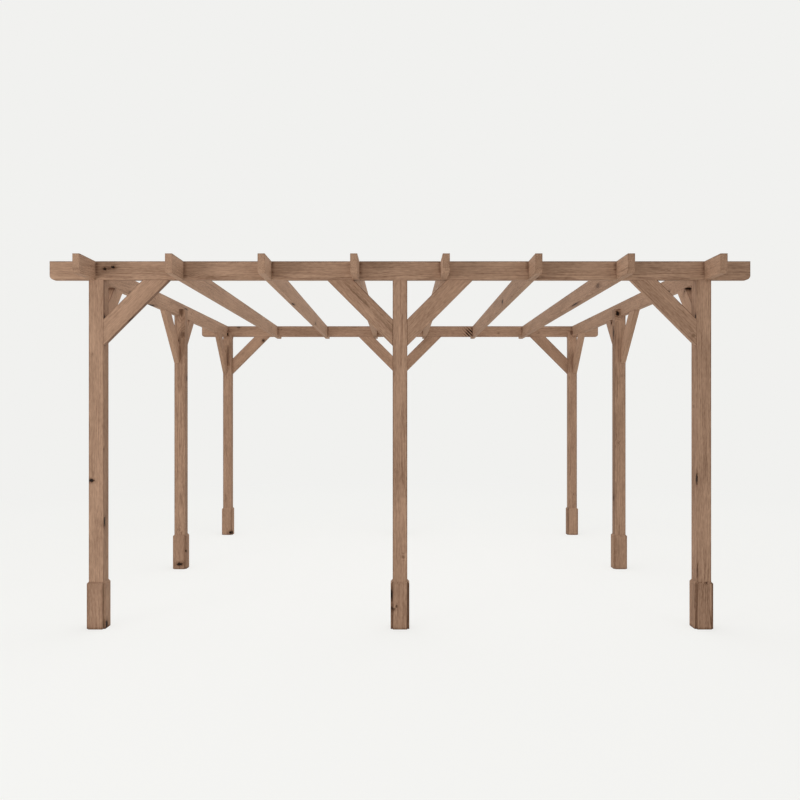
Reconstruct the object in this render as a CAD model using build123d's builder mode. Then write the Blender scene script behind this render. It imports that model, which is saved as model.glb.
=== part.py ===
import os

from build123d import *

# A free-standing square pergola in stained softwood: eight posts carry two beams and eight
# rafters, whose tops and undersides are level. Millimetres, +Z up, origin on the ground at
# the middle of the plan. The front is at -Y and the left side at -X.

# Roof frame
beam_length = 4800
rafter_length = 4814
beam_overhang = 268  # beam end, past the outer face of a corner post
rafter_overhang = 275  # rafter end, past the outer face of a front or back post
timber_thickness = 47
timber_depth = 127
end_radius = 30  # rounded lower corners of beam and rafter ends
rafter_count = 8
lap_clearance = 0.5  # on each side of a rafter where it drops into a beam

# Posts and braces
clear_height = 2392  # ground to the underside of beams and rafters
post_width = 100
brace_width = 127
brace_thickness = 47
brace_leg = 450  # from the post top down, and from the post out, to the brace's outer edge

# Plinth boards, one on each face of a post's foot
plinth_height = 323
plinth_thickness = 14
plinth_bevel = 13  # height of the sloped top
plinth_land = 1  # flat left above the slope
plinth_gap = 1  # from a board's edge to the corner of the post

# Derived places
half_width = beam_length / 2 - beam_overhang  # outer faces of the side posts, from x = 0
half_depth = rafter_length / 2 - rafter_overhang  # outer faces of the front and back posts
frame_top = clear_height + timber_depth
lap_depth = timber_depth / 2  # beams and rafters each lose half their depth where they cross
tongue_height = lap_depth  # part of a post top that rises behind the beam or rafter
beam_y = half_depth - timber_thickness / 2
side_rafter_x = half_width - timber_thickness / 2
rafter_spacing = 2 * side_rafter_x / (rafter_count - 1)
rafter_places = [index * rafter_spacing - side_rafter_x for index in range(rafter_count)]
post_x = half_width - post_width / 2
post_y = half_depth - post_width / 2

posts = {
    "front_left": (-post_x, -post_y),
    "front_centre": (0, -post_y),
    "front_right": (post_x, -post_y),
    "middle_left": (-post_x, 0),
    "middle_right": (post_x, 0),
    "back_left": (-post_x, post_y),
    "back_centre": (0, post_y),
    "back_right": (post_x, post_y),
}

os.makedirs("parts", exist_ok=True)


def write(builder, name):
    """Label a finished piece and write it as one STEP file."""
    builder.part.label = name
    export_step(builder.part, f"parts/{name}.step")


# Posts: square columns, rebated at the top so that beams and rafters sit on a shoulder,
# flush with the outer faces, and lean on the tongue that is left inside them.
for place, (x, y) in posts.items():
    with BuildPart() as post:
        with Locations((x, y, 0)):
            Box(
                post_width,
                post_width,
                clear_height + tongue_height,
                align=(Align.CENTER, Align.CENTER, Align.MIN),
            )
        with Locations((0, -beam_y, clear_height), (0, beam_y, clear_height)):
            Box(
                beam_length,
                timber_thickness,
                timber_depth,
                align=(Align.CENTER, Align.CENTER, Align.MIN),
                mode=Mode.SUBTRACT,
            )
        with Locations([(rafter_x, 0, clear_height) for rafter_x in rafter_places]):
            Box(
                timber_thickness,
                rafter_length,
                timber_depth,
                align=(Align.CENTER, Align.CENTER, Align.MIN),
                mode=Mode.SUBTRACT,
            )
    write(post, f"{place}_post")

# Plinths: four boards, each with a sloped top, on the faces of a post's foot.
for place, (x, y) in posts.items():
    with BuildPart() as plinth:
        for quarter_turn in (0, 90, 180, 270):
            across = Vector(1, 0, 0).rotate(Axis.Z, quarter_turn)
            along = Vector(0, -1, 0).rotate(Axis.Z, quarter_turn)
            with BuildSketch(Plane(origin=(x, y, 0), x_dir=across, z_dir=along)):
                with BuildLine():
                    inner = post_width / 2
                    outer = inner + plinth_thickness
                    Polyline(
                        (inner, 0),
                        (outer, 0),
                        (outer, plinth_height - plinth_bevel),
                        (inner + plinth_land, plinth_height),
                        (inner, plinth_height),
                        close=True,
                    )
                make_face()
            extrude(amount=post_width / 2 - plinth_gap, both=True)
    write(plinth, f"{place}_plinth")

# Beams: on edge along X, flush with the outer faces of the front and back posts. The upper
# half is cut away wherever a rafter drops in.
for side, y in {"front": -beam_y, "back": beam_y}.items():
    with BuildPart() as beam:
        with BuildSketch(Plane.XZ.offset(-y)) as beam_side:
            with Locations((0, clear_height)):
                Rectangle(beam_length, timber_depth, align=(Align.CENTER, Align.MIN))
            fillet(beam_side.vertices().group_by(Axis.Y)[0], end_radius)
        extrude(amount=timber_thickness / 2, both=True)
        with Locations([(rafter_x, y, frame_top) for rafter_x in rafter_places]):
            Box(
                timber_thickness + 2 * lap_clearance,
                timber_thickness,
                lap_depth,
                align=(Align.CENTER, Align.CENTER, Align.MAX),
                mode=Mode.SUBTRACT,
            )
    write(beam, f"{side}_beam")

# Rafters: on edge along Y, numbered from the left. The lower half is cut away over each beam.
for number, x in enumerate(rafter_places, start=1):
    with BuildPart() as rafter:
        with BuildSketch(Plane.YZ.offset(x)) as rafter_side:
            with Locations((0, clear_height)):
                Rectangle(rafter_length, timber_depth, align=(Align.CENTER, Align.MIN))
            fillet(rafter_side.vertices().group_by(Axis.Y)[0], end_radius)
        extrude(amount=timber_thickness / 2, both=True)
        with Locations((x, -beam_y, clear_height), (x, beam_y, clear_height)):
            Box(
                timber_thickness,
                timber_thickness + 2 * lap_clearance,
                timber_depth - lap_depth,
                align=(Align.CENTER, Align.CENTER, Align.MIN),
                mode=Mode.SUBTRACT,
            )
    write(rafter, f"rafter_{number}")


# Braces: at 45 degrees between a post's face and the underside of a beam or rafter, with
# both ends cut flat to their seats and the outer face flush with the post's.
def write_brace(name, corner, outward):
    """Make a brace that leaves the corner of a post's face and the underside, going outward."""
    short_leg = brace_leg - brace_width * 2**0.5
    sideways = outward.cross(Vector(0, 0, 1))
    with BuildPart() as brace:
        with BuildSketch(Plane(origin=corner, x_dir=outward, z_dir=sideways)):
            with BuildLine():
                Polyline(
                    (0, -brace_leg),
                    (brace_leg, 0),
                    (short_leg, 0),
                    (0, -short_leg),
                    close=True,
                )
            make_face()
        extrude(amount=brace_thickness / 2, both=True)
    write(brace, name)


brace_x = half_width - brace_thickness / 2
brace_y = half_depth - brace_thickness / 2
inner_x = half_width - post_width
inner_y = half_depth - post_width
across_braces = {
    "left": (-inner_x, 1),
    "centre_left": (-post_width / 2, -1),
    "centre_right": (post_width / 2, 1),
    "right": (inner_x, -1),
}
along_braces = {
    "front": (-inner_y, 1),
    "middle_front": (-post_width / 2, -1),
    "middle_back": (post_width / 2, 1),
    "back": (inner_y, -1),
}
for side, y in {"front": -brace_y, "back": brace_y}.items():
    for place, (x, way) in across_braces.items():
        write_brace(f"{side}_{place}_brace", (x, y, clear_height), Vector(way, 0, 0))
for side, x in {"left": -brace_x, "right": brace_x}.items():
    for place, (y, way) in along_braces.items():
        write_brace(f"{side}_{place}_brace", (x, y, clear_height), Vector(0, way, 0))
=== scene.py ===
import math

import bpy
import numpy as np
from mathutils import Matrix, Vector


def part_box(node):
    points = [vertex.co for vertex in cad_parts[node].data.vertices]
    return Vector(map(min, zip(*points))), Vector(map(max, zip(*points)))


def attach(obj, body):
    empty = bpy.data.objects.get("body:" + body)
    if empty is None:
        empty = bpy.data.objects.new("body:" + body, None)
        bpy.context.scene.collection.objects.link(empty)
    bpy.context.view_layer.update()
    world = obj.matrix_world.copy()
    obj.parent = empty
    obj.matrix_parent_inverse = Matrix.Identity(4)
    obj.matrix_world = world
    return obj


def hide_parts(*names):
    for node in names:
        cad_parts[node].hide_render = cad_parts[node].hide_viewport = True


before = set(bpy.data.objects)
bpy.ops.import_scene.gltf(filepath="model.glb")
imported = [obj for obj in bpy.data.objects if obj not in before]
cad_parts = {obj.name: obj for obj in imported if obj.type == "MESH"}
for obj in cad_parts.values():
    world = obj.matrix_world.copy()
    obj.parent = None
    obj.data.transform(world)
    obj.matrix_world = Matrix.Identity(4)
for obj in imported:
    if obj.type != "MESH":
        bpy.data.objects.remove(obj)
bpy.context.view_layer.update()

# ---------------------------------------------------------------------------------------------
# The viewpoint. Someone stands on the path in front of the pergola, five and a half metres
# from its front posts, and looks level and straight at it with a medium wide lens.
# ---------------------------------------------------------------------------------------------
EYE_HEIGHT = 1.495
STAND_OFF = 5.482  # from the outer face of the front posts
FRAME_MM = 36.0
LENS_MM = 36.02
LENS_RISE = 0.0134  # in frame widths

front_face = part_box("front_centre_post")[0].y
view = bpy.data.cameras.new("garden_path_view")
view.sensor_width = FRAME_MM
view.lens = LENS_MM
view.shift_y = LENS_RISE
viewer = bpy.data.objects.new("garden_path_view", view)
viewer.location = (0.0, front_face - STAND_OFF, EYE_HEIGHT)
viewer.rotation_euler = (math.pi / 2, 0.0, 0.0)
bpy.context.scene.collection.objects.link(viewer)
bpy.context.scene.camera = viewer
bpy.context.scene.view_settings.view_transform = "Standard"

# ---------------------------------------------------------------------------------------------
# Posts. Eight 100 mm square posts of planed spruce, stained brown. Each top is rebated, so that
# the beam and the rafter sit on a sawn shoulder and a tongue stands up on their inner side.
# ---------------------------------------------------------------------------------------------
ARRIS = 0.002  # radius that the planer gives a timber's long edges
END_ARRIS = 0.001  # radius of the edges round a sawn end
WORN_EDGE = 0.005  # how far from an edge the darker stain runs
END_RIM = 0.006  # the same, on a sawn end
SHELTERED = 0.2  # how much of the edge stain is left on a sheltered edge
END_SOAK = 0.05  # how much more stain a sawn end took
TRUNK_STEP = 9.0  # each timber starts this much further along one endless trunk
HEART_REACH = 0.04  # a post is cut round the heart, which lies this near to its middle
KNOT_DEPTH = 0.045  # how far a large knot runs in from the face that it shows on
WHORLS = 12  # rings of branches that are drawn by lot, more than the longest timber has
WHORL_GAPS = (0.42, 0.8)  # least and most from one ring of branches to the next
FIRST_WHORL = 0.3  # how much nearer than one gap the first ring lies
KNOT_SPACING = 0.2  # least distance along a timber between a knot by lot and the others
CLEAR_END = 0.05  # no knot by lot lies this near to an end
FAR_KNOT = (-9.0, 0.0, 0.0, 100.0, 100.0, 100.0, 0.0)  # stands in where a timber has no knot
KNOT_SEED = 4
HEART_SEED = 8

# The wood's colours: least and most stained, the brown of a knot and the black of its bark.
PALE_STAIN = "#B8957C"
DEEP_STAIN = "#61422E"
KNOT_BROWN = "#4A2E1C"
BARK_BLACK = "#160903"
RING_MM = 6.0  # a year's growth of quickly grown spruce
SHARP_TURN = math.radians(20)  # only a rounded end turns by less from face to face


def linear_colour(hex_colour):
    """Turn an sRGB hex colour into linear red, green, blue and an alpha of one."""
    parts = np.array([int(hex_colour[place : place + 2], 16) for place in (1, 3, 5)]) / 255
    linear = np.where(parts > 0.04045, ((parts + 0.055) / 1.055) ** 2.4, parts / 12.92)
    return (*linear.tolist(), 1.0)


def add_node(tree, kind, inputs, out=0, **settings):
    """Add a shader node with its settings, fill or link its inputs, and return one output."""
    node = tree.nodes.new("ShaderNode" + kind)
    for setting, value in settings.items():
        setattr(node, setting, value)
    for socket, value in inputs.items():
        if isinstance(value, bpy.types.NodeSocket):
            tree.links.new(value, node.inputs[socket])
        else:
            node.inputs[socket].default_value = value
    return node.outputs[out]


def fibre_noise(tree, where, long_mm, wide_mm, detail, out=0):
    """Noise drawn out along the trunk, in specks of about long_mm by wide_mm."""
    stretch = (1000 / long_mm, 1000 / wide_mm, 1000 / wide_mm)
    place = add_node(tree, "VectorMath", {0: where, 1: stretch}, operation="MULTIPLY")
    return add_node(tree, "TexNoise", {"Vector": place, "Scale": 1.0, "Detail": detail}, out)


def stained_spruce(name):
    """Planed spruce under a thin brown stain, worked out in the solid from the trunk's own axes.

    The attribute trunk is the place in the trunk, in metres, with the heart along its first axis.
    Growth rings are the distance from the heart, pushed outwards round each knot, cut into
    steps of one ring.  A knot is where the place less the knot's own, over its half sizes, has
    a length under one.  The shade, from 0 to 1, goes from the pale stain to the deep one.
    Figure, one more attribute, is how strongly the rings and the long streaks show.
    """
    material = bpy.data.materials.new(name)
    material.use_nodes = True
    tree = material.node_tree
    surface = tree.nodes["Principled BSDF"]
    trunk = add_node(tree, "Attribute", {}, "Vector", attribute_name="trunk")
    knot_place = add_node(tree, "Attribute", {}, "Vector", attribute_name="knot_place")
    knot_reach = add_node(tree, "Attribute", {}, "Vector", attribute_name="knot_reach")
    knot_age = add_node(tree, "Attribute", {}, "Fac", attribute_name="knot_age")
    edge = add_node(tree, "Attribute", {}, "Fac", attribute_name="edge")
    stain_and_shade = add_node(tree, "Attribute", {}, "Fac", attribute_name="stain_and_shade")
    figure = add_node(tree, "Attribute", {}, "Fac", attribute_name="figure")

    # The trunk's fibres wander by up to 15 mm to either side, over a metre or so.
    wander = fibre_noise(tree, trunk, 900, 160, 1.0, out=1)
    wander = add_node(tree, "VectorMath", {0: wander, 1: (0.5, 0.5, 0.5)}, operation="SUBTRACT")
    wander = add_node(tree, "VectorMath", {0: wander, 1: (0.0, 0.03, 0.03)}, operation="MULTIPLY")
    fibre = add_node(tree, "VectorMath", {0: trunk, 1: wander}, operation="ADD")

    # How far off the nearest knot is, in its own half sizes, with a rim ragged every 10 mm.
    ragged = add_node(tree, "TexNoise", {"Vector": trunk, "Scale": 95.0, "Detail": 1.0}, 1)
    ragged = add_node(tree, "VectorMath", {0: ragged, 1: (0.5, 0.5, 0.5)}, operation="SUBTRACT")
    ragged = add_node(tree, "VectorMath", {0: ragged, 3: 1.1}, operation="SCALE")
    off = add_node(tree, "VectorMath", {0: trunk, 1: knot_place}, operation="SUBTRACT")
    slant = {0: off, 1: (25.0, 0.0, 25.0)}
    slant = add_node(tree, "VectorMath", slant, "Value", operation="DOT_PRODUCT")
    off = add_node(tree, "VectorMath", {0: off, 1: knot_reach}, operation="MULTIPLY")
    smooth_off = add_node(tree, "VectorMath", {0: off}, "Value", operation="LENGTH")
    off = add_node(tree, "VectorMath", {0: off, 1: ragged}, operation="ADD")
    off = add_node(tree, "VectorMath", {0: off}, "Value", operation="LENGTH")

    # An age over one is a split knot, which shows only along slanting checks. Along the timber
    # they come every 40 mm, and the slant is 25 to the metre, which is one over that.
    sound = add_node(tree, "Math", {0: slant, 1: 0.5}, operation="PINGPONG")
    sound = {0: sound, 1: 0.18, 2: 0.34}
    sound = add_node(tree, "MapRange", sound, interpolation_type="SMOOTHSTEP")
    split = add_node(tree, "Math", {0: knot_age, 1: 1.0}, operation="GREATER_THAN")
    sound = add_node(tree, "Math", {0: sound, 1: split}, operation="MULTIPLY")
    checked = add_node(tree, "Math", {0: 1.0, 1: sound}, operation="SUBTRACT")
    knot_age = add_node(tree, "Math", {0: knot_age, 1: checked}, operation="MULTIPLY")

    # Rings: pale early wood that darkens to a thin line of late wood, then starts again. A knot
    # pushes them out by about its own half width, because its reach is one over its half sizes.
    heart_off = add_node(tree, "VectorMath", {0: fibre, 1: (0.0, 1.0, 1.0)}, operation="MULTIPLY")
    heart_off = add_node(tree, "VectorMath", {0: heart_off}, "Value", operation="LENGTH")
    smallness = add_node(tree, "VectorMath", {0: knot_reach}, "Value", operation="LENGTH")
    bulge = add_node(tree, "Math", {0: 1.2, 1: smallness}, operation="DIVIDE")
    push = {0: smooth_off, 1: 3.4, 2: 0.3, 3: 0.0, 4: bulge}
    push = add_node(tree, "MapRange", push, interpolation_type="SMOOTHSTEP")
    heart_off = add_node(tree, "Math", {0: heart_off, 1: push}, operation="ADD")
    uneven = fibre_noise(tree, fibre, 500, 30, 2.0)
    uneven = add_node(tree, "Math", {0: uneven, 1: 2.2}, operation="MULTIPLY")
    ring = {0: heart_off, 1: 1000 / RING_MM, 2: uneven}
    ring = add_node(tree, "Math", ring, operation="MULTIPLY_ADD")
    ring = add_node(tree, "Math", {0: ring}, operation="FRACT")
    late = add_node(tree, "MapRange", {0: ring, 1: 0.3, 2: 0.86}, interpolation_type="SMOOTHSTEP")
    stop = add_node(tree, "MapRange", {0: ring, 1: 1.0, 2: 0.88}, interpolation_type="SMOOTHSTEP")
    late = add_node(tree, "Math", {0: late, 1: stop}, operation="MULTIPLY")

    # The stain takes unevenly: in streaks, in flecks, in broad patches and in single fibres,
    # which are drawn at 1.4 mm, several times their real width. What is taken off brings the
    # average of the grain close to nothing, and that of the shade to about 0.3.
    streak = fibre_noise(tree, fibre, 420, 6, 3.0)
    fleck = fibre_noise(tree, fibre, 36, 8, 2.0)
    patch = fibre_noise(tree, fibre, 420, 90, 2.0)
    hair = fibre_noise(tree, fibre, 90, 1.4, 2.0)
    grain = add_node(tree, "Math", {0: streak, 1: 0.70, 2: -0.40}, operation="MULTIPLY_ADD")
    grain = add_node(tree, "Math", {0: late, 1: 0.24, 2: grain}, operation="MULTIPLY_ADD")
    shade = add_node(tree, "Math", {0: grain, 1: figure, 2: -0.75}, operation="MULTIPLY_ADD")
    shade = add_node(tree, "Math", {0: fleck, 1: 0.80, 2: shade}, operation="MULTIPLY_ADD")
    shade = add_node(tree, "Math", {0: patch, 1: 0.60, 2: shade}, operation="MULTIPLY_ADD")
    shade = add_node(tree, "Math", {0: hair, 1: 0.60, 2: shade}, operation="MULTIPLY_ADD")
    halo = {0: off, 1: 2.6, 2: 0.9, 3: 0.0, 4: 0.35}
    halo = add_node(tree, "MapRange", halo, interpolation_type="SMOOTHSTEP")
    halo = add_node(tree, "Math", {0: halo, 1: knot_age}, operation="MULTIPLY")
    shade = add_node(tree, "Math", {0: shade, 1: halo}, operation="ADD")
    # Darker near the edges: stain worn into the arrises, and painted shade beside the beams'
    # joints and at the plinths' foot, which come in by the same attribute.
    worn = add_node(tree, "Math", {0: edge, 1: hair}, operation="MULTIPLY")
    shade = add_node(tree, "Math", {0: worn, 1: 0.90, 2: shade}, operation="MULTIPLY_ADD")
    # Then each face's own tone: stain, and on some faces painted light and shade.
    shade = add_node(tree, "Math", {0: shade, 1: stain_and_shade}, operation="ADD", use_clamp=True)
    stain = {0: shade, 6: linear_colour(PALE_STAIN), 7: linear_colour(DEEP_STAIN)}
    colour = add_node(tree, "Mix", stain, 2, data_type="RGBA")

    # Knots: brown wood, and where a dead one took its bark in, a black core.
    brown = {0: off, 1: 1.15, 2: 0.8}
    brown = add_node(tree, "MapRange", brown, interpolation_type="SMOOTHSTEP")
    brown = add_node(tree, "Math", {0: brown, 1: 0.8}, operation="MULTIPLY")
    brown = {0: brown, 1: knot_age}
    brown = add_node(tree, "Math", brown, operation="MULTIPLY", use_clamp=True)
    stain = {0: brown, 6: colour, 7: linear_colour(KNOT_BROWN)}
    colour = add_node(tree, "Mix", stain, 2, data_type="RGBA")
    core = add_node(tree, "MapRange", {0: off, 1: 1.0, 2: 0.55}, interpolation_type="SMOOTHSTEP")
    black = add_node(tree, "MapRange", {0: knot_age, 1: 0.5, 2: 1.0})
    core = add_node(tree, "Math", {0: core, 1: black}, operation="MULTIPLY")
    stain = {0: core, 6: colour, 7: linear_colour(BARK_BLACK)}
    colour = add_node(tree, "Mix", stain, 2, data_type="RGBA")
    tree.links.new(colour, surface.inputs["Base Color"])

    # Satin stain: open early wood is duller than the hard late wood, which stands a hair proud.
    rough = add_node(tree, "MapRange", {0: shade, 1: 0.0, 2: 1.0, 3: 0.72, 4: 0.58})
    tree.links.new(rough, surface.inputs["Roughness"])
    surface.inputs["Specular IOR Level"].default_value = 0.14
    height = add_node(tree, "Math", {0: hair, 1: 1.2, 2: late}, operation="MULTIPLY_ADD")
    height = add_node(tree, "Math", {0: core, 1: -1.5, 2: height}, operation="MULTIPLY_ADD")
    bump = add_node(tree, "Bump", {"Strength": 0.3, "Distance": 0.0004, "Height": height})
    tree.links.new(bump, surface.inputs["Normal"])
    return material


SIDE_POINTS = 6  # in a sawn outline
MARK_POINT = 2  # the place of a side's mark among its points


def sawn_outline(wide, deep, arris, mark=0.0):
    """Outline of a sawn section: core points, outward directions and how worn each point is.

    A point is its core point plus the arris radius times its outward direction.  Anticlockwise
    from the low end of the right side, a side has points at its ends, where the worn edge stops
    and at the mark, which is measured from the middle; a corner has one more point, halfway
    round its quarter circle.
    """
    reach = np.array([wide, deep]) / 2 - arris
    core, outward = [], []
    for side, facing in enumerate(np.array([(1, 0), (0, 1), (-1, 0), (0, -1)], float)):
        forward = np.array([-facing[1], facing[0]])
        off, end = reach[side % 2], reach[1 - side % 2]
        fresh = end - min(WORN_EDGE, end / 2)
        row = np.array([-end, -fresh, mark * forward.sum(), fresh, end, end])
        core.append(off * facing + row[:, None] * forward)
        outward.append(np.repeat([facing, facing + forward], (SIDE_POINTS - 1, 1), axis=0))
    core, outward = np.concatenate(core), np.concatenate(outward)
    outward = outward / np.linalg.norm(outward, axis=1)[:, None]
    return core, outward, np.tile([1.0, 0.0, 0.0, 0.0, 1.0, 1.0], 4)


def sawn_stations(length, arris, stops=()):
    """Distances along a timber at which its outline is drawn, how far it is drawn in, and wear.

    On the last stretch to an end the outline draws in on a quarter circle of the arris radius.
    """
    eased = np.array([0.0, arris * (1 - math.sqrt(0.5)), arris, arris + WORN_EDGE])
    at = np.unique(np.round(np.concatenate([eased, length - eased, stops]), 6))
    from_end = np.minimum(at, at[-1] - at)
    inset = arris - np.sqrt(arris**2 - (arris - np.clip(from_end, 0, arris)) ** 2)
    worn = 1 - np.clip((from_end - arris) / WORN_EDGE, 0, 1)
    return at, inset, worn


def timber_axes(grain, deep):
    """Directions in the pergola of a timber's own three axes: along, across and deep."""
    grain, deep = np.array(grain, float), np.array(deep, float)
    return np.stack([grain, np.cross(deep, grain), deep])


def into_timber(spots, origin, grain, deep):
    """Give knots that are listed by their place in the pergola by their place in the timber."""
    axes = timber_axes(grain, deep)
    return [(*(axes @ (np.array(spot[:3]) - origin)), *spot[3:]) for spot in spots]


def whorl_knots(number, length, wide, deep, own=()):
    """Rows of knots for one timber: along, across, deep, one over each half size, and age.

    A spruce puts out branches in whorls about every half metre, so knots lie that far apart, on
    any face, and most are small and pale.  Own knots come first, and others keep clear of them.
    """
    dice = np.random.default_rng([KNOT_SEED, number])
    gaps = dice.uniform(*WHORL_GAPS, WHORLS)
    chance = dice.random((WHORLS, 5))
    rows = list(own)
    for along, luck in zip(np.cumsum(gaps) - FIRST_WHORL, chance):
        taken = any(abs(along - row[0]) < KNOT_SPACING for row in rows)
        if taken or not CLEAR_END < along < length - CLEAR_END:
            continue

        # It lies in the middle seven tenths of a face, is 5 to 12 mm in half width and a
        # third longer than wide, and its age is 0.15 to 0.45.
        sideways = (luck[1] - 0.5) * 0.7
        if luck[0] < deep / (wide + deep):
            across, into = math.copysign(wide / 2, luck[2] - 0.5), sideways * deep
        else:
            across, into = sideways * wide, math.copysign(deep / 2, luck[2] - 0.5)
        half = 0.005 + 0.007 * luck[3]
        rows.append((along, across, into, 1.3 * half, half, 0.15 + 0.3 * luck[4]))
    knots = []
    for along, across, into, half_along, half_side, age in sorted(rows):
        depth = min(KNOT_DEPTH, 3 * half_side)
        halves = [half_along, half_side, depth]
        if abs(across) / wide > abs(into) / deep:
            halves = [half_along, depth, half_side]
        knots.append((along, across, into, *(1 / np.array(halves)), age))
    return np.array(knots or [FAR_KNOT])


def between(knots):
    """Distances along a timber halfway between each knot and the next."""
    return (knots[1:, 0] + knots[:-1, 0]) / 2


def sawn_shell(at, rings, worn, loops, cuts, stain_and_shade, end_soak=END_SOAK):
    """Arrays of one closed length of timber, from its outline carried from station to station.

    Quads join each point of a loop at one station to the same point at the next.  The loop is
    the whole outline up to the first cut, what is kept of it up to the next, and so on.  Each
    Stain and shade is how much darker the wood is drawn, from more stain and on some faces from
    painted light and shade, by station and point of the outline or as one number, and at the
    ends.
    number, and at the ends.
    """
    whole, kept, cut = loops
    ends = []
    for ring, loop in ((rings[0], whole), (rings[-1], kept if len(cuts) % 2 else whole)):
        low, high = ring[loop].min(0), ring[loop].max(0)
        middle, half = (low + high) / 2, (high - low) / 2
        ends.append(middle + (ring - middle) * (1 - np.minimum(END_RIM, half / 2) / half))
    rings = np.concatenate([ends[:1], rings, ends[1:]])
    at = np.concatenate([at[:1], at, at[-1:]])
    plain = np.zeros((1, rings.shape[1]))
    worn = np.concatenate([plain, worn, plain])
    columns, last = rings.shape[1], len(at) - 1
    stain_and_shade = np.broadcast_to(stain_and_shade, (last - 1, columns))
    stain_and_shade = np.concatenate([stain_and_shade[:1], stain_and_shade, stain_and_shade[-1:]])
    breaks = [0, *(int(np.abs(at - place).argmin()) for place in cuts), last]
    faces, station, stained_and_shaded = [], [], []
    for part, (start, stop) in enumerate(zip(breaks[:-1], breaks[1:])):
        loop = kept if part % 2 else whole
        row = np.arange(start, stop)[:, None] * columns
        here, there = row + loop, row + np.roll(loop, -1)
        quads = np.stack([here, there, there + columns, here + columns], axis=-1)
        faces += quads.reshape(-1, 4).tolist()
        station += np.repeat(np.arange(start, stop) + 0.5, len(loop)).tolist()
        stained_and_shaded += stain_and_shade[start:stop, loop].ravel().tolist()
        if part:
            shoulder_loop = cut if part % 2 else cut[::-1]
            faces.append((start * columns + shoulder_loop).tolist())
            station.append(start - 0.5 if part % 2 else start + 0.5)
            stained_and_shaded.append(end_soak)
    faces += [whole[::-1].tolist(), (last * columns + loop).tolist()]
    station = np.array([*station, 0.5, last - 0.5])
    stained_and_shaded = np.array([*stained_and_shaded, end_soak, end_soak])
    stained_and_shaded[(station < 1) | (station > last - 1)] = end_soak
    along = np.broadcast_to(at[:, None, None], (*rings.shape[:2], 1))
    return {
        "local": np.concatenate([along, rings], axis=2).reshape(-1, 3),
        "edge": worn.ravel(),
        "faces": faces,
        "face_along": np.interp(station, np.arange(last + 1), at),
        "length": at[-1],
        "stain_and_shade": stained_and_shaded,
    }


def sawn_from(shell, number, heart, knots, figure=(1.0, 1.0)):
    """Say where in the trunk a shell was sawn, and which knot lies nearest along it by face.

    Heart is how far the timber's middle lies from the trunk's, across and deep.  Figure is how
    strongly the grain shows, at the timber's two ends.
    """
    along = shell["face_along"]
    nearest = knots[np.searchsorted(between(knots), along)]
    shell["shift"] = np.array([number * TRUNK_STEP, *heart])
    shell["knot_place"] = nearest[:, :3] + shell["shift"]
    shell["knot_reach"] = nearest[:, 3:6]
    shell["knot_age"] = nearest[:, 6]
    shell["figure"] = np.interp(along, (0, shell["length"]), figure)
    return shell


def place_shell(shell, origin, grain, deep):
    """Turn a shell's local lengths along, across and deep into places in the pergola."""
    shell["trunk"] = shell["local"] + shell["shift"]
    shell["points"] = shell["local"] @ timber_axes(grain, deep) + np.array(origin)
    return shell


# What a mesh carries for its material, and whether by point or by face.
CARRIED = {
    "trunk": ("FLOAT_VECTOR", "POINT"),
    "edge": ("FLOAT", "POINT"),
    "stain_and_shade": ("FLOAT", "FACE"),
    "figure": ("FLOAT", "FACE"),
    "knot_place": ("FLOAT_VECTOR", "FACE"),
    "knot_reach": ("FLOAT_VECTOR", "FACE"),
    "knot_age": ("FLOAT", "FACE"),
}


def dress(node, shells, material):
    """Make one piece from its shells, and let it stand for its CAD node."""
    faces, start = [], 0
    for shell in shells:
        faces += [np.array(face) + start for face in shell["faces"]]
        start += len(shell["points"])
    points = np.concatenate([shell["points"] for shell in shells])
    used = np.unique(np.concatenate(faces))
    renumber = np.zeros(len(points), int)
    renumber[used] = np.arange(len(used))
    mesh = bpy.data.meshes.new(node + "_timber")
    mesh.from_pydata(points[used], [], [renumber[face].tolist() for face in faces])
    for name, (kind, domain) in CARRIED.items():
        values = np.concatenate([shell[name] for shell in shells])
        values = values[used] if domain == "POINT" else values
        attribute = mesh.attributes.new(name, kind, domain)
        into = "vector" if kind == "FLOAT_VECTOR" else "value"
        attribute.data.foreach_set(into, values.astype(np.float32).ravel())
    mesh.materials.append(material)
    mesh.shade_smooth()
    mesh.set_sharp_from_angle(angle=SHARP_TURN)
    piece = bpy.data.objects.new(node + "_timber", mesh)
    bpy.context.scene.collection.objects.link(piece)
    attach(piece, "root")
    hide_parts(node)
    return piece


POST_NAMES = (
    "front_left",
    "front_centre",
    "front_right",
    "middle_left",
    "middle_right",
    "back_left",
    "back_centre",
    "back_right",
)
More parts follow.
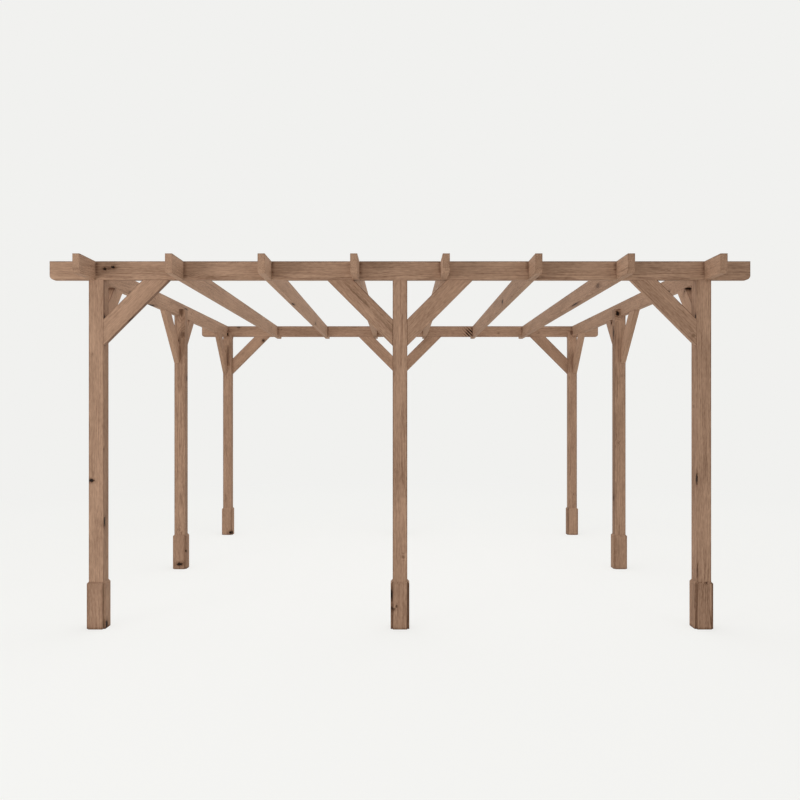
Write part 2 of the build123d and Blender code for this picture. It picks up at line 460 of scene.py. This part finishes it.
# Knots that are listed: place in the pergola, half length along the grain and half width
# across it, all in metres, and age, from a pale live knot at 0 to a black dead one at 1, or
# over 1 for a split one.
POST_KNOTS = {
    "front_left": [
        (-2.102, -2.132, 1.062, 0.024, 0.006, 0.35),
        (-2.112, -2.132, 1.017, 0.013, 0.018, 1.00),
        (-2.032, -2.109, 0.735, 0.032, 0.013, 1.00),
        (-2.032, -2.119, 1.232, 0.010, 0.006, 0.80),
        # Painted shade, not a knot: a black mark in the corner above the front brace, where it
        # meets the post.
        (-2.032, -2.109, 2.140, 0.018, 0.009, 0.90),
    ],
    "front_right": [
        (2.034, -2.132, 1.030, 0.040, 0.0055, 1.00),
        (2.038, -2.132, 0.400, 0.050, 0.005, 0.60),
        # Painted shade, not a knot: a black mark in the corner above the front brace, where it
        # meets the post.
        (2.032, -2.109, 2.140, 0.018, 0.009, 1.00),
    ],
    "middle_left": [
        (-2.067, -0.050, 2.430, 0.045, 0.014, 0.45),
        (-2.055, -0.050, 2.215, 0.030, 0.018, 0.40),
        (-2.098, -0.050, 2.154, 0.016, 0.012, 1.00),
        (-2.032, 0.020, 1.803, 0.026, 0.025, 0.60),
    ],
    "middle_right": [
        (2.056, -0.050, 2.412, 0.026, 0.018, 1.00),
        (2.032, 0.000, 2.236, 0.042, 0.016, 1.00),
        (2.032, -0.004, 0.666, 0.028, 0.012, 0.90),
    ],
    "back_left": [
        (-2.078, 2.032, 2.416, 0.020, 0.012, 1.00),
        (-2.070, 2.032, 2.470, 0.030, 0.020, 0.45),
        (-2.073, 2.032, 2.155, 0.130, 0.012, 0.50),
    ],
    "back_right": [
        (2.066, 2.032, 2.448, 0.045, 0.018, 0.60),
        (2.082, 2.032, 2.083, 0.120, 0.024, 0.40),
    ],
}
# How much more stain than usual each post took, first all round and then on the side that
# faces the pergola's middle line, which is partly stain and partly painted light and shade on
# that side, and how strongly its grain shows.
POST_SOAK = {
    "front_left": -0.02,
    "front_right": 0.03,
    "middle_right": -0.06,
    "back_left": 0.02,
    "back_right": -0.05,
}
INNER_SIDE_STAIN_AND_SHADE = {
    "front_left": 0.10,
    "front_right": 0.07,
    "middle_left": 0.10,
    "middle_right": 0.27,
    "back_right": -0.10,
}
POST_FIGURE = {"middle_left": 1.15, "middle_right": 1.5, "back_right": 1.6}

# Satin brown wood whose grain, rings and knots run on from face to face.
post_timber = stained_spruce("stained_spruce_posts")
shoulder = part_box("front_beam")[0].z
beam_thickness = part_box("front_beam")[1].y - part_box("front_beam")[0].y
for number, name in enumerate(POST_NAMES):
    low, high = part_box(name + "_post")
    width = high.x - low.x
    middle_x, middle_y = (low.x + high.x) / 2, (low.y + high.y) / 2
    side_x, side_y = np.sign(round(middle_x, 1)), np.sign(round(middle_y, 1))
    at_corner = side_x != 0 and side_y != 0

    # Deep points inwards and so, at a corner, does across. What is kept of the top then lies
    # between the mark on the outline's first side and the one on its second or third side.
    inward = (-side_x, 0.0, 0.0) if side_x and side_x != side_y else (0.0, -side_y, 0.0)
    origin = np.array([middle_x, middle_y, low.z])
    rebate = beam_thickness - width / 2
    core, outward, edge = sawn_outline(width, width, ARRIS, rebate)
    heel = len(core)
    far_mark = MARK_POINT + SIDE_POINTS * (1 if at_corner else 2)
    kept = np.arange(MARK_POINT, far_mark + 1)
    cut = np.concatenate([np.arange(far_mark, heel), np.arange(MARK_POINT + 1)])
    if at_corner:
        kept, cut = np.append(kept, heel), np.append(cut, heel)

    own = into_timber(POST_KNOTS.get(name, []), origin, (0, 0, 1), inward)
    knots = whorl_knots(number, high.z, width, width, own)
    at, inset, worn = sawn_stations(high.z, END_ARRIS, [shoulder, *between(knots)])
    rings = core + (ARRIS - inset)[:, None, None] * outward
    rings = np.concatenate([rings, np.full((len(at), 1, 2), rebate)], axis=1)

    # The front edge towards the middle line is sheltered, and so kept little of the stain.
    plan_axes = timber_axes((0, 0, 1), inward)[1:, :2]
    plan = core @ plan_axes
    sheltered = (plan[:, 0] * -side_x > 0) & (plan[:, 1] < 0)
    edge = edge * np.where(sheltered, SHELTERED, 1.0)
    worn = np.maximum(worn[:, None], np.append(edge, 0.0))
    stain_and_shade = np.full(heel + 1, POST_SOAK.get(name, 0.0))
    # Painted light and shade: the side that faces the middle line gets its own tone.
    faces_middle = (outward @ plan_axes)[:, 0] * -side_x > 0.9
    stain_and_shade[:heel][faces_middle] = INNER_SIDE_STAIN_AND_SHADE.get(name, 0.0)

    heart = np.random.default_rng([HEART_SEED, number]).uniform(-HEART_REACH, HEART_REACH, 2)
    figure = (POST_FIGURE.get(name, 1.0),) * 2
    shell = sawn_shell(at, rings, worn, (np.arange(heel), kept, cut), [shoulder], stain_and_shade)
    sawn_from(shell, number, heart, knots, figure)
    place_shell(shell, origin, (0, 0, 1), inward)
    dress(name + "_post", [shell], post_timber)

# ---------------------------------------------------------------------------------------------
# Plinths. Four short boards of the same stained spruce box in the foot of each post. Their tops
# are sloped to shed rain, their corners stay open, and each is glued to its face of the post.
# ---------------------------------------------------------------------------------------------
BOARD_ARRIS = 0.0009  # radius of a board's long edges
BOARD_END_ARRIS = 0.0005  # radius of the edges round its ends
BOARD_GAP = 0.001  # from a board's edge to the corner of the post
SLOPE_HEIGHT = 0.013
SLOPE_LAND = 0.001  # flat left at the top of the slope
BOARD_WEAR = 0.2  # how much of the edge stain a thin board keeps
FOOT_SHADE_HEIGHT = 0.018  # how far up from the ground the boards are drawn darker, as painted shade at the ground
KNOT_SLACK = 0.002  # how far off a board's face a knot of its own may be listed
BOARD_HEART = (0.03, 0.09)  # least and most off the heart, across and deep
BOARD_HEART_SEED = 9
FIRST_BOARD = 10  # the boards' numbers start here

PLINTH_KNOTS = {
    # Painted shade, not a knot: a black mark in the open corner's recess at the ground.
    "front_left": [(-2.018, -2.107, 0.028, 0.027, 0.021, 1.0)],
    "front_centre": [
        (-0.042, -2.146, 0.142, 0.016, 0.012, 0.60),
        (-0.024, -2.146, 0.156, 0.016, 0.006, 0.70),
        # These two are painted shade on the left board's sawn edge, in the open corner's recess,
        # listed as knots.
        (-0.055, -2.127, 0.235, 0.045, 0.009, 1.00),
        (-0.053, -2.127, 0.140, 0.014, 0.007, 1.00),
    ],
    "front_right": [(2.097, -2.146, 0.318, 0.006, 0.005, 0.9)],
    "middle_left": [
        (-2.078, -0.064, 0.048, 0.016, 0.030, 1.0),
        (-2.018, -0.045, 0.169, 0.008, 0.008, 0.9),
    ],
    "back_left": [
        # Both are painted shade, not knots: black marks in the open corner's recess at the
        # ground.
        (-2.037, 2.018, 0.028, 0.018, 0.024, 1.0),
        (-2.018, 2.038, 0.030, 0.018, 0.012, 1.0),
    ],
}
# How much more stain than usual the boards of a post took, and instead of that the one that
# faces the pergola's middle line, partly stain and partly painted light and shade on that side,
# and on top of it the sawn edges of the front, right, back and left board, drawn darker as
# painted shade in the open corners' recesses over a darker sawn edge. The last is how strongly
# their grain shows.
BOARD_SOAK = {
    "front_left": 0.21,
    "front_right": 0.18,
    "middle_left": 0.05,
    "middle_right": -0.05,
    "back_left": -0.07,
    "back_right": -0.09,
}
INNER_BOARD_STAIN_AND_SHADE = {
    "front_left": 0.07,
    "front_right": 0.05,
    "middle_left": 0.15,
    "middle_right": 0.0,
    "back_right": 0.12,
}
RECESS_EDGE_STAIN_AND_SHADE = {"front_centre": (0.55, 0.55, 0.55, 0.30), "front_right": (0.2, 0.2, 0.2, 0.2)}
PLINTH_FIGURE = {"front_left": 0.6, "front_centre": 1.8, "front_right": 1.9}

# The same satin brown wood, on short boards whose foot is drawn dark as painted shade.
plinth_timber = stained_spruce("stained_spruce_plinths")
board_sides = np.array([(0, -1, 0), (1, 0, 0), (0, 1, 0), (-1, 0, 0)], float)
for place, name in enumerate(POST_NAMES):
    low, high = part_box(name + "_plinth")
    post_low, post_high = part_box(name + "_post")
    thick = post_low.x - low.x
    width = post_high.x - post_low.x
    wide = width - 2 * BOARD_GAP
    post_middle = [(post_low.x + post_high.x) / 2, (post_low.y + post_high.y) / 2, low.z]
    boards = []
    for side, facing in enumerate(board_sides):
        origin = np.array(post_middle) + facing * (width + thick) / 2
        number = FIRST_BOARD + 4 * place + side
        core, outward, edge = sawn_outline(wide, thick, BOARD_ARRIS)
        own = into_timber(PLINTH_KNOTS.get(name, []), origin, (0, 0, 1), facing)
        near = thick / 2 + KNOT_SLACK
        own = [knot for knot in own if abs(knot[1]) < wide / 2 and abs(knot[2]) < near]
        knots = whorl_knots(number, high.z, wide, thick, own)
        slope_foot = high.z - SLOPE_HEIGHT
        stops = [FOOT_SHADE_HEIGHT, slope_foot, *between(knots)]
        at, inset, worn = sawn_stations(high.z, BOARD_END_ARRIS, stops)
        rings = core + (BOARD_ARRIS - inset)[:, None, None] * outward
        slope = np.clip((at - slope_foot) / SLOPE_HEIGHT, 0, 1) * (thick - SLOPE_LAND)
        rings[:, :, 1] -= slope[:, None] * (rings[:, :, 1] / thick + 0.5)
        # Painted shade: the boards darken towards the ground over their lowest couple of
        # centimetres.
        foot_shade = np.clip(1 - at / FOOT_SHADE_HEIGHT, 0, 1)
        worn = np.maximum(np.maximum(worn[:, None], edge) * BOARD_WEAR, foot_shade[:, None])
        stain_and_shade = BOARD_SOAK.get(name, 0.0)
        # Painted light and shade: the board that faces the middle line gets its own tone.
        if facing[0] * post_middle[0] < 0:
            stain_and_shade = INNER_BOARD_STAIN_AND_SHADE.get(name, stain_and_shade)
        # Painted shade: the boards' narrow sawn edges, which sit in the open corners' recesses,
        # are drawn darker.
        stain_and_shade = stain_and_shade + (np.abs(outward[:, 0]) == 1) * RECESS_EDGE_STAIN_AND_SHADE.get(name, (0.0,) * 4)[side]
        heart = np.random.default_rng([BOARD_HEART_SEED, number]).uniform(*BOARD_HEART, 2)
        figure = (PLINTH_FIGURE.get(name, 1.0),) * 2
        shell = sawn_shell(at, rings, worn, (np.arange(len(core)),) * 3, [], stain_and_shade)
        sawn_from(shell, number, heart, knots, figure)
        boards.append(place_shell(shell, origin, (0, 0, 1), facing))
    dress(name + "_plinth", boards, plinth_timber)

# ---------------------------------------------------------------------------------------------
# Beams. Two joists of stained spruce on edge, 47 by 127 mm and 4.8 m long, one over the front
# posts and one over the back ones. Their lower end corners are rounded with a jigsaw, and their
# upper half is notched for each rafter.
# ---------------------------------------------------------------------------------------------
END_ROUND = 0.030  # radius of a rounded lower corner
ROUND_STEPS = 10
PAST_ROUND = 0.01  # how far past the rounding its first plain station lies
LAP_CLEARANCE = 0.0005  # each side of a notch
RAFTER_COUNT = 8
JOINT_SHADE_REACH = 0.025  # how far the painted shade beside a rafter's side reaches
FIRST_BEAM = 50  # the beams' numbers start here
JOIST_HEART = ((0.02, -0.06), (0.09, 0.06))  # least and most off the heart, across and deep
BEAM_SOAK = {"front": 0.0, "back": 0.03}  # how much more stain than usual each took
BEAM_FIGURE = {"front": (1.0, 1.6), "back": (1.0, 1.0)}  # at the left end and the right one
BEAM_KNOTS = {
    "front": [
        (-2.022, -2.132, 2.466, 0.014, 0.010, 1.0),
        (-1.993, -2.132, 2.469, 0.022, 0.008, 0.5),
        (-1.966, -2.132, 2.478, 0.016, 0.009, 1.0),
        (1.144, -2.085, 2.455, 0.008, 0.004, 0.3),
        (1.842, -2.132, 2.450, 0.010, 0.006, 0.1),
    ],
    "back": [
        (-1.954, 2.085, 2.506, 0.020, 0.008, 0.7),
        (0.843, 2.085, 2.437, 0.050, 0.055, 1.3),
    ],
}


def rounded_stops(length):
    """Distances at which a rounded end is drawn, in equal turns of its quarter circle."""
    turns = np.linspace(0, math.pi / 2, ROUND_STEPS + 1)
    near = END_ROUND * (1 - np.cos(turns))
    plain = [END_ROUND + PAST_ROUND, length - END_ROUND - PAST_ROUND]
    return np.concatenate([near, length - near, plain])


def round_ends(at, rings, core):
    """Lift the lower half of the outline near both ends, on a quarter circle of END_ROUND."""
    from_end = np.clip(np.minimum(at, at[-1] - at), 0, END_ROUND)
    lift = END_ROUND - np.sqrt(END_ROUND**2 - (END_ROUND - from_end) ** 2)
    rings[:, :, 1] += lift[:, None] * (core[:, 1] < 0)


# The same satin brown wood, with painted shade beside the joints, where the rafters shade the
# beam.
beam_timber = stained_spruce("stained_spruce_beams")
rafter_sides = [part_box(f"rafter_{count}") for count in range(1, RAFTER_COUNT + 1)]
for place, name in enumerate(("front", "back")):
    low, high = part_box(name + "_beam")
    number = FIRST_BEAM + place
    size = high - low
    origin = np.array([low.x, (low.y + high.y) / 2, (low.z + high.z) / 2])
    core, outward, edge = sawn_outline(size.y, size.z, ARRIS)
    edge *= np.where(core[:, 1] < 0, SHELTERED, 1.0)
    own = into_timber(BEAM_KNOTS[name], origin, (1, 0, 0), (0, 0, 1))
    knots = whorl_knots(number, size.x, size.y, size.z, own)
    notches = []
    for rafter_low, rafter_high in rafter_sides:
        notches.append(rafter_low.x - LAP_CLEARANCE - low.x)
        notches.append(rafter_high.x + LAP_CLEARANCE - low.x)
    beside = np.array(notches) + JOINT_SHADE_REACH * np.tile([-1, 1], len(rafter_sides))
    stops = [*rounded_stops(size.x), *notches, *beside, *between(knots)]
    at, inset, worn = sawn_stations(size.x, END_ARRIS, stops)
    rings = core + (ARRIS - inset)[:, None, None] * outward
    round_ends(at, rings, core)
    # Painted shade: the beam's upper half is drawn darker for a few centimetres either side of
    # each rafter.
    from_joint = np.abs(at[:, None] - notches).min(1)
    joint_shade = (1 - np.clip(from_joint / JOINT_SHADE_REACH, 0, 1))[:, None] * (core[:, 1] >= 0)
    worn = np.maximum(np.maximum(worn[:, None], edge), joint_shade)
    upper, lower = np.flatnonzero(core[:, 1] >= 0), np.flatnonzero(core[:, 1] <= 0)
    loops = (np.arange(len(core)), lower, upper)
    heart = np.random.default_rng([HEART_SEED, number]).uniform(*JOIST_HEART)
    shell = sawn_shell(at, rings, worn, loops, notches, BEAM_SOAK[name])
    sawn_from(shell, number, heart, knots, BEAM_FIGURE[name])
    place_shell(shell, origin, (1, 0, 0), (0, 0, 1))
    dress(name + "_beam", [shell], beam_timber)

# ---------------------------------------------------------------------------------------------
# Rafters. Eight joists like the beams run from front to back. Their lower half is notched over
# each beam, so that both lie level, and a screw from above holds each crossing.
# ---------------------------------------------------------------------------------------------
RAFTER_KNOTS = {
    1: [
        (-2.085, -1.399, 2.409, 0.050, 0.012, 0.6),
        (-2.112, -0.805, 2.392, 0.070, 0.018, 1.0),
        (-2.085, 0.188, 2.487, 0.060, 0.008, 0.7),
    ],
    3: [
        (-0.899, -0.870, 2.390, 0.090, 0.010, 0.9),
        (-0.880, 0.733, 2.404, 0.050, 0.012, 0.7),
    ],
    6: [(0.880, -0.737, 2.432, 0.040, 0.016, 1.0)],
    7: [
        (1.482, -1.612, 2.433, 0.060, 0.018, 0.6),
        (1.482, -0.824, 2.398, 0.120, 0.006, 1.0),
    ],
    8: [(2.085, -1.399, 2.417, 0.030, 0.010, 1.0)],
}
# How much more stain than usual each rafter took, on its length and at its ends.
RAFTER_SOAK = (-0.05, -0.12, -0.15, -0.10, -0.10, -0.02, 0.02, -0.02)
RAFTER_END_SOAK = (-0.07, -0.06, -0.01, -0.01, 0.11, 0.12, 0.18, 0.06)
UNDERSIDE_PAINTED_LIGHT = -0.16  # the underside is drawn paler than the sides, as painted light from below
END_WEAR = 0.4  # how much of the edge stain the freshly sawn ends took
FIRST_RAFTER = 53  # the rafters' numbers start here
RAFTER_HEART = ((-0.09, -0.06), (-0.02, 0.06))  # as the beams', with the heart on the other side

# The same satin brown wood, with end grain that shows the rings, and an underside drawn paler as
# painted light.
rafter_timber = stained_spruce("stained_spruce_rafters")
for place, (low, high) in enumerate(rafter_sides):
    number = FIRST_RAFTER + place
    size = high - low
    origin = np.array([(low.x + high.x) / 2, low.y, (low.z + high.z) / 2])
    core, outward, edge = sawn_outline(size.x, size.z, ARRIS)
    edge *= np.where(core[:, 1] < 0, SHELTERED, 1.0)
    own = into_timber(RAFTER_KNOTS.get(place + 1, []), origin, (0, 1, 0), (0, 0, 1))
    knots = whorl_knots(number, size.y, size.x, size.z, own)
    notches = []
    for beam_low, beam_high in (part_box("front_beam"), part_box("back_beam")):
        notches.append(beam_low.y - LAP_CLEARANCE - low.y)
        notches.append(beam_high.y + LAP_CLEARANCE - low.y)
    stops = [*rounded_stops(size.y), *notches, *between(knots)]
    at, inset, worn = sawn_stations(size.y, END_ARRIS, stops)
    rings = core + (ARRIS - inset)[:, None, None] * outward
    round_ends(at, rings, core)
    worn = np.maximum(worn[:, None] * END_WEAR, edge)
    upper, lower = np.flatnonzero(core[:, 1] >= 0), np.flatnonzero(core[:, 1] <= 0)
    loops = (np.arange(len(core)), upper, lower)
    # Painted light: the flat of the underside, between the rounded ends, is drawn paler, as if
    # lit from below.
    straight = (at >= END_ROUND) & (at < size.y - END_ROUND)
    stain_and_shade = RAFTER_SOAK[place] + UNDERSIDE_PAINTED_LIGHT * straight[:, None] * (outward[:, 1] == -1)
    heart = np.random.default_rng([HEART_SEED, number]).uniform(*RAFTER_HEART)
    shell = sawn_shell(at, rings, worn, loops, notches, stain_and_shade, RAFTER_END_SOAK[place])
    sawn_from(shell, number, heart, knots)
    place_shell(shell, origin, (0, 1, 0), (0, 0, 1))
    dress(f"rafter_{place + 1}", [shell], rafter_timber)

# ---------------------------------------------------------------------------------------------
# Braces. Sixteen short lengths of the same 47 by 127 mm spruce at 45 degrees, outer face flush
# with the posts, with both ends sawn flat against the post's face and the underside above.
# ---------------------------------------------------------------------------------------------
BRACE_DEPTH = 0.127
FIRST_BRACE = 61  # the braces' numbers start here
BRACE_FIGURE = (0.5, 0.5)  # quieter grain than in the long timbers
BRACE_KNOTS = {
    "front_left": [(-1.850, -2.108, 2.120, 0.020, 0.010, 1.0)],
    "front_centre_left": [
        (-0.264, -2.132, 2.257, 0.100, 0.006, 0.4),
        (-0.140, -2.132, 2.127, 0.090, 0.005, 0.3),
    ],
    "front_right": [(2.010, -2.132, 2.010, 0.012, 0.010, 0.3)],
    "back_left": [(-1.655, 2.085, 2.345, 0.018, 0.016, 0.85)],
    # These two are painted shade, not knots: dark where each front side brace's upper face meets
    # the rafter.
    "left_front": [(-2.107, -1.765, 2.389, 0.018, 0.032, 0.35)],
    "right_front": [(2.107, -1.765, 2.389, 0.018, 0.032, 1.0)],
    # Painted shade, not a knot: a black mark where this brace's top meets the rafter.
    "right_middle_back": [(2.085, 0.273, 2.380, 0.018, 0.014, 1.0)],
}
# How much more stain than usual each brace took, and how much darker yet its underside is drawn:
# painted shade where that is above nought, painted light where it is below.
BRACE_SOAK = {
    "front_centre_left": 0.08,
    "front_right": 0.10,
    "back_left": -0.06,
    "back_centre_left": -0.05,
    "back_centre_right": 0.10,
    "back_right": 0.09,
    "left_front": -0.15,
    "left_middle_front": -0.08,
    "right_front": -0.15,
    "right_middle_front": -0.07,
    "right_back": -0.14,
}
BRACE_UNDERSIDE_LIGHT_AND_SHADE = {"front_left": 0.3, "front_right": -0.25}

# Which way each brace leans out from its post: along X under a beam, along Y under a rafter.
beam_ways = {"left": 1, "centre_left": -1, "centre_right": 1, "right": -1}
rafter_ways = {"front": 1, "middle_front": -1, "middle_back": 1, "back": -1}
leans = {}
for side in ("front", "back"):
    leans |= {f"{side}_{place}": (way, 0, 0) for place, way in beam_ways.items()}
for side in ("left", "right"):
    leans |= {f"{side}_{place}": (0, way, 0) for place, way in rafter_ways.items()}

# The same satin brown wood, with its grain at 45 degrees.
brace_timber = stained_spruce("stained_spruce_braces")
for place, (name, lean) in enumerate(leans.items()):
    low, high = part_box(name + "_brace")
    number = FIRST_BRACE + place
    lean = np.array(lean, float)
    grain = (lean + (0, 0, 1)) / math.sqrt(2)
    deep = (np.array([0, 0, 1]) - lean) / math.sqrt(2)
    leg = high.z - low.z
    length = leg * math.sqrt(2)
    thick = min(high.x - low.x, high.y - low.y)
    foot = np.array((low + high) / 2) - lean * leg / 2 - np.array([0, 0, leg / 2])
    origin = foot + deep * BRACE_DEPTH / 2
    core, outward, edge = sawn_outline(thick, BRACE_DEPTH, ARRIS)
    edge *= np.where(core[:, 1] < 0, SHELTERED, 1.0)
    own = into_timber(BRACE_KNOTS.get(name, []), origin, grain, deep)
    knots = whorl_knots(number, length, thick, BRACE_DEPTH, own)
    at, inset, worn = sawn_stations(length, END_ARRIS, between(knots))
    rings = core + (ARRIS - inset)[:, None, None] * outward
    worn = np.maximum(worn[:, None], edge)
    # The underside's share is painted light and shade.
    stain_and_shade = BRACE_SOAK.get(name, 0.0) + (outward[:, 1] == -1) * BRACE_UNDERSIDE_LIGHT_AND_SHADE.get(name, 0.0)
    heart = np.random.default_rng([HEART_SEED, number]).uniform(*JOIST_HEART)
    shell = sawn_shell(at, rings, worn, (np.arange(len(core)),) * 3, [], stain_and_shade)
    sawn_from(shell, number, heart, knots, BRACE_FIGURE)

    # Both ends are square so far. A shear that goes from one way at the foot to the other at
    # the head turns each by 45 degrees, and leaves the middle as it is.
    turn = 1 - 2 * shell["local"][:, 0] / length
    shell["local"][:, 0] += (shell["local"][:, 2] + BRACE_DEPTH / 2) * turn
    place_shell(shell, origin, grain, deep)
    dress(name + "_brace", [shell], brace_timber)

# ---------------------------------------------------------------------------------------------
# The studio. A pale seamless floor that fades into an equally pale surround, an even sky of soft
# light, and three soft lamps: a low one at the front left, one overhead, and a far one at the
# front right.
# ---------------------------------------------------------------------------------------------
PALE = "#F1F1EF"
FLOOR_SIDES = 96
FADE_START = 4.0  # from the pergola's middle
FADE_END = 9.0
FLOOR_RADII = (0.5, FADE_START, FADE_END, 20.0, 90.0)
GLOW_SHARE = 0.7  # how much of the floor's light is its own before the fade; past it, all is
GLOW_STRENGTH = 1.13  # of that light before the fade; past it, 1, so that no horizon shows

turns = np.linspace(0, 2 * math.pi, FLOOR_SIDES + 1)[:-1]
radii = np.array(FLOOR_RADII)[:, None]
flat = np.zeros((len(radii), FLOOR_SIDES))
disc = np.stack([radii * np.cos(turns), radii * np.sin(turns), flat], axis=-1)
ring_starts = np.arange(len(radii) - 1)[:, None] * FLOOR_SIDES
here = ring_starts + np.arange(FLOOR_SIDES)
there = ring_starts + np.roll(np.arange(FLOOR_SIDES), -1)
floor_quads = np.stack([here, here + FLOOR_SIDES, there + FLOOR_SIDES, there], axis=-1)
floor_faces = [np.arange(FLOOR_SIDES).tolist(), *floor_quads.reshape(-1, 4).tolist()]
floor_mesh = bpy.data.meshes.new("pale_floor")
floor_mesh.from_pydata(disc.reshape(-1, 3), [], floor_faces)
floor = bpy.data.objects.new("pale_floor", floor_mesh)
bpy.context.scene.collection.objects.link(floor)

# Matt paint that takes the pergola's shadow. To the eye alone, part of its light is its own.
floor_paint = bpy.data.materials.new("matt_white_floor_paint")
floor_paint.use_nodes = True
tree = floor_paint.node_tree
for node in list(tree.nodes):
    tree.nodes.remove(node)
where = add_node(tree, "TexCoord", {}, "Object")
from_middle = add_node(tree, "VectorMath", {0: where}, "Value", operation="LENGTH")
share = {0: from_middle, 1: FADE_START, 2: FADE_END, 3: GLOW_SHARE, 4: 1.0}
share = add_node(tree, "MapRange", share, interpolation_type="SMOOTHSTEP")
camera_ray = add_node(tree, "LightPath", {}, "Is Camera Ray")
share = add_node(tree, "Math", {0: share, 1: camera_ray}, operation="MULTIPLY")
strength = {0: from_middle, 1: FADE_START, 2: FADE_END, 3: GLOW_STRENGTH, 4: 1.0}
strength = add_node(tree, "MapRange", strength, interpolation_type="SMOOTHSTEP")
matt = add_node(tree, "BsdfDiffuse", {"Color": linear_colour(PALE)})
glow = add_node(tree, "Emission", {"Color": linear_colour(PALE), "Strength": strength})
mixed = add_node(tree, "MixShader", {0: share, 1: matt, 2: glow})
output = tree.nodes.new("ShaderNodeOutputMaterial")
tree.links.new(mixed, output.inputs["Surface"])
floor_mesh.materials.append(floor_paint)

SKY_STRENGTH = 0.66  # of the sky as a lamp; to the eye it has 1, as the far floor does
surround = bpy.data.worlds.new("pale_surround")
bpy.context.scene.world = surround
surround.use_nodes = True
tree = surround.node_tree
background = tree.nodes["Background"]
camera_ray = add_node(tree, "LightPath", {}, "Is Camera Ray")
glossy_ray = add_node(tree, "LightPath", {}, "Is Glossy Ray")
through_ray = add_node(tree, "LightPath", {}, "Is Transmission Ray")
shown = add_node(tree, "Math", {0: camera_ray, 1: glossy_ray}, operation="MAXIMUM")
shown = add_node(tree, "Math", {0: shown, 1: through_ray}, operation="MAXIMUM")
strength = add_node(tree, "MapRange", {0: shown, 3: SKY_STRENGTH, 4: 1.0})
background.inputs["Color"].default_value = linear_colour(PALE)
tree.links.new(strength, background.inputs["Strength"])

# Each softbox: where it hangs, its width in metres and its power in watts.
SOFTBOXES = {
    "front_left_softbox": ((-6.0, -8.0, 0.8), 3.0, 244.0),
    "overhead_softbox": ((0.0, 0.0, 7.0), 5.0, 160.0),
    "front_right_softbox": ((12.0, -16.0, 5.0), 6.0, 200.0),
}
LAMPS_AIM = (0.0, 0.0, 1.3)
for name, (place, size, power) in SOFTBOXES.items():
    softbox = bpy.data.lights.new(name, "AREA")
    softbox.size = size
    softbox.energy = power
    lamp = bpy.data.objects.new(name, softbox)
    lamp.location = place
    aim = Vector(LAMPS_AIM) - Vector(place)
    lamp.rotation_euler = aim.to_track_quat("-Z", "Y").to_euler()
    bpy.context.scene.collection.objects.link(lamp)
